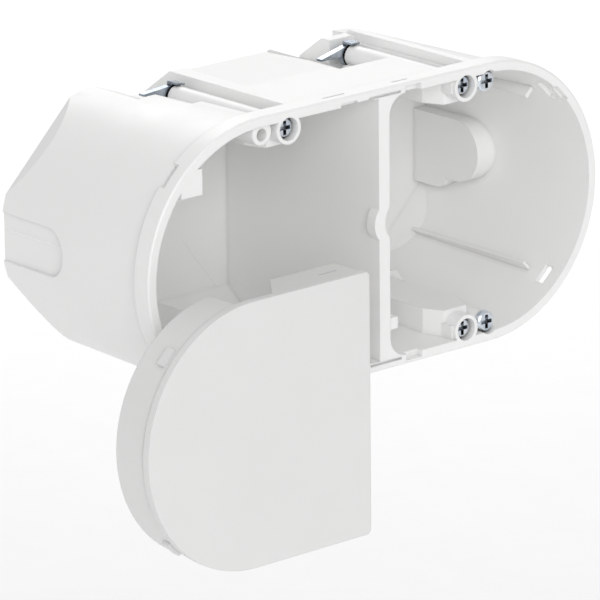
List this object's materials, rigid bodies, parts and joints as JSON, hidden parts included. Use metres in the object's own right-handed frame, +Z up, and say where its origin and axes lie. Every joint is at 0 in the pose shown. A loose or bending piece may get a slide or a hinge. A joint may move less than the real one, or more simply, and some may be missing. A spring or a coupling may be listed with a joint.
{
  "type": "drywall back box",
  "caption": "Double-gang plastic back box for hollow walls with claw fixings, a dividing wall and a taken-off compartment cover.",
  "frame": {"origin": "centre of the rim's front plane, on the front edge of the dividing wall", "axes": "+X right, +Y into the wall, +Z up, as the box is fitted"},
  "size_m": [0.1612, 0.0795, 0.0992],
  "materials": {
    "shell": "satin moulded",
    "cover": "satin moulded",
    "zinc_screw": "zinc plated",
    "zinc_claw": "zinc plated"
  },
  "bodies": {
    "shell": {"box_shell": "shell"},
    "cover": {"compartment_cover": "cover"},
    "claw_screw_top_left": {"claw_screw_top_left": "zinc_screw"},
    "claw_top_left": {"claw_top_left": "zinc_claw"},
    "claw_screw_top_right": {"claw_screw_top_right": "zinc_screw"},
    "claw_top_right": {"claw_top_right": "zinc_claw"},
    "claw_screw_bottom_left": {"claw_screw_bottom_left": "zinc_screw"},
    "claw_bottom_left": {"claw_bottom_left": "zinc_claw"},
    "claw_screw_bottom_right": {"claw_screw_bottom_right": "zinc_screw"},
    "claw_bottom_right": {"claw_bottom_right": "zinc_claw"},
    "device_screw_top": {"device_screw_top": "zinc_screw"},
    "device_screw_bottom": {"device_screw_bottom": "zinc_screw"}
  },
  "joints": [
    {"name": "cover_offering_up", "type": "slide", "parent": "shell", "child": "cover", "axis": [0.5428, 0.2201, 0.8105], "range_m": [0, 0.04]},
    {"name": "claw_screw_top_left_turn", "type": "hinge", "parent": "shell", "child": "claw_screw_top_left", "pos_m": [-0.028, 0, 0.0302], "axis": [0, 1, 0], "continuous": true},
    {"name": "claw_top_left_swing", "type": "hinge", "parent": "shell", "child": "claw_top_left", "pos_m": [-0.028, 0.0419, 0.0302], "axis": [0, 1, 0], "range_deg": [0, 81]},
    {"name": "claw_screw_top_right_turn", "type": "hinge", "parent": "shell", "child": "claw_screw_top_right", "pos_m": [0.028, 0, 0.0302], "axis": [0, 1, 0], "continuous": true},
    {"name": "claw_top_right_swing", "type": "hinge", "parent": "shell", "child": "claw_top_right", "pos_m": [0.028, 0.0419, 0.0302], "axis": [0, 1, 0], "range_deg": [0, 90]},
    {"name": "claw_screw_bottom_left_turn", "type": "hinge", "parent": "shell", "child": "claw_screw_bottom_left", "pos_m": [-0.028, 0, -0.0302], "axis": [0, 1, 0], "continuous": true},
    {"name": "claw_bottom_left_swing", "type": "hinge", "parent": "shell", "child": "claw_bottom_left", "pos_m": [-0.028, 0.0419, -0.0302], "axis": [0, 1, 0], "range_deg": [0, 90]},
    {"name": "claw_screw_bottom_right_turn", "type": "hinge", "parent": "shell", "child": "claw_screw_bottom_right", "pos_m": [0.028, 0, -0.0302], "axis": [0, 1, 0], "continuous": true},
    {"name": "claw_bottom_right_swing", "type": "hinge", "parent": "shell", "child": "claw_bottom_right", "pos_m": [0.028, 0.0419, -0.0302], "axis": [0, 1, 0], "range_deg": [0, 81]},
    {"name": "device_screw_top_turn", "type": "hinge", "parent": "shell", "child": "device_screw_top", "pos_m": [0.0355, 0, 0.03], "axis": [0, 1, 0], "continuous": true},
    {"name": "device_screw_bottom_turn", "type": "hinge", "parent": "shell", "child": "device_screw_bottom", "pos_m": [0.0355, 0, -0.03], "axis": [0, 1, 0], "continuous": true}
  ]
}
